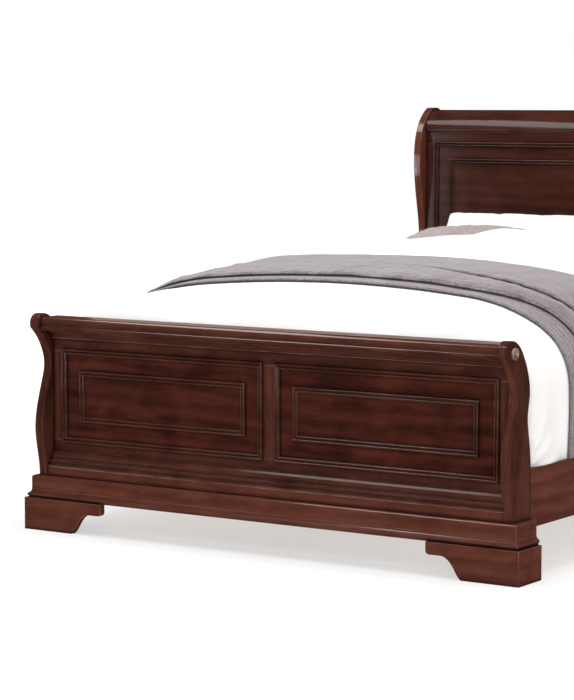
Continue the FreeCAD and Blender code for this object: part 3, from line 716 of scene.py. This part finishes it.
def folded_over(section, end_line, crown, fallen, corner, foot_y):
    """A sheet over a block: z is the crown less (side^5 + end^5)^(1/5), a soft maximum of both
    falls, and the plan's two foot corners are rounded by mapping a square onto a quarter disc."""
    y, end_drop = end_line[:, :1], end_line[:, 1:2]
    z = crown - (fallen ** 5 + end_drop ** 5) ** 0.2
    x = np.broadcast_to(section[:, 0], z.shape)
    y = np.broadcast_to(y, z.shape)
    hub_x, hub_y = np.abs(x).max() - corner, foot_y + corner
    out_x, out_y = np.clip(np.abs(x) - hub_x, 0, None), np.clip(hub_y - y, 0, None)
    size = np.maximum(np.hypot(out_x, out_y), 1e-9)
    reach = np.maximum(out_x, out_y)
    both = (out_x > 0) & (out_y > 0)
    x = np.where(both, np.sign(x) * (hub_x + out_x / size * reach), x)
    y = np.where(both, hub_y - out_y / size * reach, y)
    return np.stack([x, y, z], axis=-1)


def normals_of(grid):
    """Unit normals of a grid of points: the cross product of its two directions."""
    normal = np.cross(np.gradient(grid, axis=1), np.gradient(grid, axis=0))
    return normal / np.maximum(np.linalg.norm(normal, axis=-1, keepdims=True), 1e-12)


def rims(outer, inner):
    """Four strips that join the edges of two grids of the same size."""
    return [np.stack([outer[0], inner[0]]), np.stack([outer[-1], inner[-1]]),
            np.stack([outer[:, 0], inner[:, 0]]), np.stack([outer[:, -1], inner[:, -1]])]


FOOT_HANG = 0.25
ROLL = 0.10
HALF_COUNT = 130
END_COUNT = 260
THROW_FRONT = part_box("throw_blanket")[0].y
THROW_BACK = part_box("throw_blanket")[1].y
section = both_sides(side_line(QUILT_HALF, SHOULDER_WIDTH, SHOULDER_DROP, SHOULDER_POWER, SIDE_HANG,
                               0.005, HALF_COUNT))
end_height = CROWN[-1] - MATTRESS_TOP - 0.006
end_line = even_steps(np.concatenate([
    [[FOOT_WALL_Y + 0.003, FOOT_HANG]],
    shoulder(FOOT_WALL_Y + 0.16, FOOT_WALL_Y, 0.17, 2.4)[::-1],
    shoulder(HEAD_WALL_Y - ROLL, HEAD_WALL_Y, end_height * 0.55, 2.2),
    [[HEAD_WALL_Y - 0.006, end_height * 0.8], [HEAD_WALL_Y - 0.03, end_height]]]), END_COUNT)
outer = folded_over(section, end_line, *made_bed(section, end_line[:, :1]), 0.06, FOOT_WALL_Y)
near_head = smooth_step(outer[..., 1], HEAD_WALL_Y - 0.38, HEAD_WALL_Y - 0.15)
# A low hump in the roll, from just left of the centre line out to the right.
hump = smooth_step(outer[..., 0], -0.23, -0.12) * smooth_step(-outer[..., 0], -0.42, 0.04)
outer[..., 2] += 0.027 * hump * near_head * smooth_step(outer[..., 2], 0.66, 0.76)


def crumple(points):
    """How far the quilt stands off its smooth surface: broad soft hills on top, hanging folds that
    grow down the sides, slanting creases near the foot posts, and nothing outward under the throw."""
    x, y, z = points[..., 0], points[..., 1], points[..., 2]
    side = smooth_step(np.abs(x), 0.70, 0.77)
    hills = 0.0045 * ripples(points, 3, 0.42) + 0.0016 * ripples(points, 4, 0.13)
    low_down = smooth_step(-z, -0.62, -0.34)
    slant = y + 0.35 * (z - 0.3)
    hanging = np.sin(2 * np.pi * slant / 0.23 + 1.6 * ripples(points, 5, 0.6))
    folds = 0.0045 * hanging * low_down + 0.002 * ripples(points, 6, 0.11) * low_down
    near_post = smooth_step(-y, -BED_FOOT - 0.24, -BED_FOOT - 0.03) * smooth_step(-z, -0.52, -0.36)
    ray = np.arctan2(z - 0.27, y - BED_FOOT + 0.03)
    creases = 0.0035 * np.sin(ray * 16 + ripples(points, 7, 0.2)) * near_post
    off = hills * (1 - smooth_step(np.abs(x), 0.58, 0.70)) + (folds + creases) * side - 0.002
    covered = smooth_step(y, THROW_FRONT - 0.06, THROW_FRONT - 0.02)
    covered = covered * smooth_step(-y, -THROW_BACK - 0.01, -THROW_BACK + 0.05)
    return off * (1 - covered) - 0.002 * covered


outer = outer + normals_of(outer) * crumple(outer)[..., None]
inner_section = both_sides(side_line(QUILT_HALF - 0.022, 0.11, 0.11, 2.0, 0.235, 0.0, HALF_COUNT))
inner_foot_y = BED_FOOT - 0.004
inner_top = MATTRESS_TOP + 0.003
inner_end = even_steps(np.concatenate([
    [[inner_foot_y, inner_top - outer[0, HALF_COUNT, 2]]],
    shoulder(inner_foot_y + 0.03, inner_foot_y, 0.03, 2.0)[::-1],
    [[HEAD_WALL_Y - 0.035, 0.0]]]), END_COUNT)
inner_fall = inner_section[:, 1] * (inner_top - HEM_HEIGHT) / inner_section[-1, 1]
inner = folded_over(inner_section, inner_end, inner_top, inner_fall, 0.05, inner_foot_y)
quilt_cotton = cloth_material("white_quilt_cotton", (0.83, 0.81, 0.80), (0.87, 0.85, 0.84), 800.0, 0.7,
                              0.85, 0.3, 0.2)
quilt = closed_piece("quilt_cover", [outer, inner, *rims(outer, inner)], quilt_cotton)
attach(quilt, "quilt")
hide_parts("quilt")

# Throw: one knitted sheet in heathered grey, folded in three across its width and laid over the
# quilt. Its lowest fold shows in front as a thin strip, with the thick top fold behind it.
KNIT_THICK = 0.0035


def station_y(station, shift, x):
    """Where a point of the fold lies along the bed. Stations 0 to 3 are the lower front fold, the
    upper front fold, the crease and the back folds, each a soft line across the bed."""
    wander = 0.003 * np.sin(x * 9.0) + 0.002 * np.sin(x * 23.0 + 1.0)
    front = THROW_FRONT + 0.006 - 0.030 * smooth_step(x, 0.45, 0.68) + 0.2 * wander
    nose = THROW_FRONT + 0.050 + 0.020 * smooth_step(x, 0.50, 0.75) + wander
    crease = THROW_FRONT + 0.270 - 0.110 * smooth_step(x, 0.05, 0.70)
    back = THROW_BACK - 0.020 - 0.130 * smooth_step(x, 0.0, 0.75)
    one, two, three = (np.clip(station - k, 0, 1) for k in range(3))
    return front + (nose - front) * one + (crease - nose) * two + (back - crease) * three + shift


def rounded_path(points, rounds=3):
    """Corner cutting: each run gives two points, at a quarter and at three quarters of it."""
    for _ in range(rounds):
        near = 0.75 * points[:-1] + 0.25 * points[1:]
        far = 0.25 * points[:-1] + 0.75 * points[1:]
        inside = np.stack([near, far], axis=1).reshape(-1, points.shape[1])
        points = np.concatenate([points[:1], inside, points[-1:]])
    return points


# The fold as (station, shift along the bed, height with a flat crease, height with a deep one).
fold = rounded_path(np.array([
    (2.9, 0.000, 0.0022, 0.0022), (2.0, 0.000, 0.0022, 0.0022), (1.0, 0.0, 0.0022, 0.0022),
    (0.0, 0.010, 0.0022, 0.0022), (0.0, -0.004, 0.0020, 0.0020), (0.0, -0.004, 0.0080, 0.0080),
    (0.0, 0.012, 0.0080, 0.0080), (1.0, 0.0, 0.0080, 0.0080), (2.0, 0.0, 0.0080, 0.0080),
    (3.0, -0.012, 0.0080, 0.0080), (3.0, 0.002, 0.0078, 0.0078), (3.0, 0.002, 0.0145, 0.0145),
    (3.0, -0.020, 0.0150, 0.0150), (2.5, 0.0, 0.0175, 0.0185), (2.0, 0.030, 0.0200, 0.0225),
    (2.0, 0.008, 0.0205, 0.0235), (2.0, -0.002, 0.0208, 0.0225), (2.0, -0.002, 0.0210, 0.0125),
    (2.0, -0.010, 0.0212, 0.0135), (2.0, -0.030, 0.0218, 0.0205), (1.65, 0.0, 0.0235, 0.0258),
    (1.35, 0.0, 0.0240, 0.0295), (1.0, 0.034, 0.0235, 0.0300), (1.0, 0.008, 0.0225, 0.0270),
    (1.0, -0.004, 0.0165, 0.0165), (1.0, 0.004, 0.0125, 0.0125), (1.0, 0.030, 0.0120, 0.0120)]))
throw_section = both_sides(side_line(QUILT_HALF, SHOULDER_WIDTH, SHOULDER_DROP, SHOULDER_POWER,
                                     SIDE_HANG, 0.004, 190))
x = throw_section[None, :, 0]
y = station_y(fold[:, :1], fold[:, 1:2], x)
crown, fallen = made_bed(throw_section, y)
base = np.stack([np.broadcast_to(x, y.shape), y, crown - fallen], axis=-1)
slope = np.gradient(base[..., [0, 2]], axis=1)
outward = np.stack([-slope[..., 1], np.zeros_like(y), slope[..., 0]], axis=-1)
outward /= np.linalg.norm(outward, axis=-1, keepdims=True)
deep = smooth_step(x, 0.05, 0.45)
height = fold[:, 2:3] * (1 - deep) + fold[:, 3:4] * deep
height = height * (1 - 0.42 * smooth_step(np.abs(x), 0.66, 0.78))
upper = smooth_step(height, 0.012, 0.020)
soft = 0.0012 * ripples(base, 11, 0.10) + 0.0008 * ripples(base, 12, 0.035)
throw_points = base + outward * (height + soft * upper)[..., None]
throw_points[..., 1] += 0.003 * upper * ripples(base, 13, 0.07)
run = run_along(base[:, base.shape[1] // 2])
length = run_along(throw_section)


def knitted(name, dark, light):
    """Heathered knit: dark and light fibres mixed along rows 9.5 mm apart, with a fuzzy sheen, and painted
    shade where it lies hidden.
    """
    material, tree = new_material(name)
    laid = add_node(tree, "UVMap", uv_map="cloth").outputs["UV"]
    flecks = stretched_noise(tree, laid, 2.5, 110.0, 4.0)
    cloudy = stretched_noise(tree, laid, 1.0, 9.0, 3.0)
    rows = add_node(tree, "TexWave", {"Vector": laid, "Scale": 33.0, "Distortion": 1.5,
                                      "Detail": 2.0, "Detail Scale": 3.0}, bands_direction="Y")
    amount = math_node(tree, "MULTIPLY_ADD", rows.outputs["Fac"], 0.22, math_node(
        tree, "MULTIPLY_ADD", cloudy, 0.35, flecks))
    amount = add_node(tree, "MapRange", {"Value": amount, "From Min": 0.50,
                                         "From Max": 1.02}).outputs["Result"]
    colour = mix_colour(tree, amount, (*dark, 1), (*light, 1))
    # Painted shade: the knit's colour goes towards near black where ambient occlusion finds it hidden, as
    # under the roll.
    open_air = add_node(tree, "AmbientOcclusion", {"Distance": 0.018}, samples=6).outputs["AO"]
    painted_shade_where_hidden = add_node(tree, "MapRange", {"Value": open_air, "From Min": 0.95,
                                         "From Max": 0.35}).outputs["Result"]
    colour = mix_colour(tree, painted_shade_where_hidden, colour, (0.012, 0.010, 0.011, 1))
    stitches = math_node(tree, "MULTIPLY_ADD", rows.outputs["Fac"], 0.5, flecks)
    shade(tree, colour, 0.95, stitches, strength=0.6, depth=0.0012, Sheen_Weight=0.40,
          Sheen_Roughness=0.45, Specular_IOR_Level=0.1)
    return material


grey_knit = knitted("grey_heather_knit", (0.088, 0.074, 0.079), (0.250, 0.216, 0.227))
throw = new_piece("throw_sheet", throw_points, grid_faces(*throw_points.shape[:2]), grey_knit)
laid = np.stack(np.broadcast_arrays(length[None], run[:, None]), axis=-1).reshape(-1, 2)
corners = np.zeros(len(throw.data.loops), np.int32)
throw.data.loops.foreach_get("vertex_index", corners)
layer = throw.data.uv_layers.new(name="cloth")
layer.data.foreach_set("uv", laid[corners].astype(np.float32).ravel())
faces_outward(throw)
body = throw.modifiers.new("thickness", "SOLIDIFY")
body.thickness = KNIT_THICK
body.offset = 0.0
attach(throw, "throw")
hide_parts("throw_blanket")

# Pillows: two taupe linen ones in front and two cream cotton ones behind, each two panels sewn
# together at a seam and stuffed. They lean back in a row between the quilt and the headboard.
PILLOW_COLUMNS, PILLOW_ROWS = 64, 34
SLICES, SLICE_HALF = 49, 0.017


def sewn_pillow(name, plan, thick, material, seed):
    """A flat closed bag of two panels whose outline draws in between its pointed corners, blown up
    by a cloth simulation with gravity off, so that it puckers along its seam as a real one does."""
    s, t = np.meshgrid(np.linspace(-1, 1, PILLOW_COLUMNS), np.linspace(-1, 1, PILLOW_ROWS))
    x = plan[0] / 2 * s * (1 - 0.02 * (1 - t ** 2))
    y = plan[1] / 2 * t * (1 - 0.02 * (1 - s ** 2))
    puff = thick / 2 * ((1 - s ** 2) * (1 - t ** 2)) ** 0.45
    flat = np.stack([x, y, puff], axis=-1)
    flat[..., 2] += 0.004 * ripples(flat, seed, 0.16) * (puff > 0)
    under = flat * (1, 1, -1)
    pillow = closed_piece(name, [flat, under], material)
    inflate(pillow, pressure=3.0, cap=0.05)
    return pillow


def points_of(piece):
    """A mesh's points as an array (n, 3)."""
    points = np.empty(len(piece.data.vertices) * 3, np.float32)
    piece.data.vertices.foreach_get("co", points)
    return points.reshape(-1, 3).astype(float)


def inflate(piece, pressure, cap):
    """Twenty frames of cloth under pressure with gravity off. No point moves further than cap."""
    start = points_of(piece)
    cloth_run = piece.modifiers.new("stuffing", "CLOTH")
    settings = cloth_run.settings
    settings.quality = 6
    settings.mass = 0.3
    settings.tension_stiffness = settings.compression_stiffness = 30
    settings.shear_stiffness = 20
    settings.bending_stiffness = 0.4
    settings.use_pressure = True
    settings.uniform_pressure_force = pressure
    settings.shrink_min = -0.01
    settings.effector_weights.gravity = 0
    cloth_run.collision_settings.use_collision = False
    for step in range(1, 21):
        bpy.context.scene.frame_set(step)
    graph = bpy.context.evaluated_depsgraph_get()
    blown = bpy.data.meshes.new_from_object(piece.evaluated_get(graph))
    moved = np.empty(len(blown.vertices) * 3, np.float32)
    blown.vertices.foreach_get("co", moved)
    bpy.data.meshes.remove(blown)
    piece.modifiers.remove(cloth_run)
    shift = moved.reshape(-1, 3) - start
    size = np.maximum(np.linalg.norm(shift, axis=1, keepdims=True), 1e-9)
    piece.data.vertices.foreach_set("co", (start + shift / size * np.minimum(size, cap)).ravel())
    piece.data.update()
    bpy.context.scene.frame_set(1)


def leaned(piece, node, tilt, bow):
    """Turns a pillow up about X by tilt and fits it to its node's box. Each upright slice across it
    is stretched to the height of a curve 1 - bow x^2 - 1.5 bow x^10, so that its top edge runs as
    one soft arc that ends in drooping corners."""
    points = points_of(piece)
    low, high = (np.array(v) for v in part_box(node))
    cos, sin = math.cos(tilt), math.sin(tilt)
    turned = np.stack([points[:, 0], points[:, 1] * cos - points[:, 2] * sin,
                       points[:, 1] * sin + points[:, 2] * cos], axis=-1)
    least = turned.min(0)
    share = (turned - least) / (turned.max(0) - least)
    at = np.linspace(0, 1, SLICES)
    near = np.abs(share[:, :1] - at) < SLICE_HALF
    tops = np.where(near, share[:, 2:3], 0).max(0)
    across = 2 * at - 1
    stretch = (1 - bow * across ** 2 - 1.5 * bow * across ** 10) / np.maximum(tops, 0.4)
    share[:, 2] *= np.interp(share[:, 0], at, stretch)
    share[:, 2] = np.where(share[:, 2] < 0.10, 0.06 + 0.4 * share[:, 2], share[:, 2])
    share[:, 2] = (share[:, 2] - share[:, 2].min()) / (share[:, 2].max() - share[:, 2].min())
    placed = low + 0.002 + share * (high - low - 0.004)
    piece.data.vertices.foreach_set("co", placed.astype(np.float32).ravel())
    piece.data.update()


taupe_linen = cloth_material("taupe_linen", (0.295, 0.25, 0.24), (0.385, 0.335, 0.322), 480.0, 0.9,
                             0.9, 0.5, 0.3)
cream_cotton = cloth_material("cream_cotton", (0.80, 0.785, 0.75), (0.87, 0.855, 0.825), 700.0, 0.7,
                              0.85, 0.3, 0.25)
for row, cloth_of, slot, plan, thick, tilt, bow, seed in (
        ("front", taupe_linen, "taupe_linen", (0.74, 0.32), 0.11, math.radians(26), 0.21, 21),
        ("back", cream_cotton, "cream_cotton", (0.70, 0.34), 0.10, math.radians(52), 0.02, 31)):
    for k, word in enumerate(("left", "right")):
        node = row + "_pillow_" + word
        pillow = sewn_pillow(row + "_pillow_cover_" + word, plan, thick, cloth_of, seed + k)
        leaned(pillow, node, tilt, bow)
        finer = pillow.modifiers.new("finer", "SUBSURF")
        finer.levels = finer.render_levels = 1
        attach(pillow, node)
        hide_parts(node)
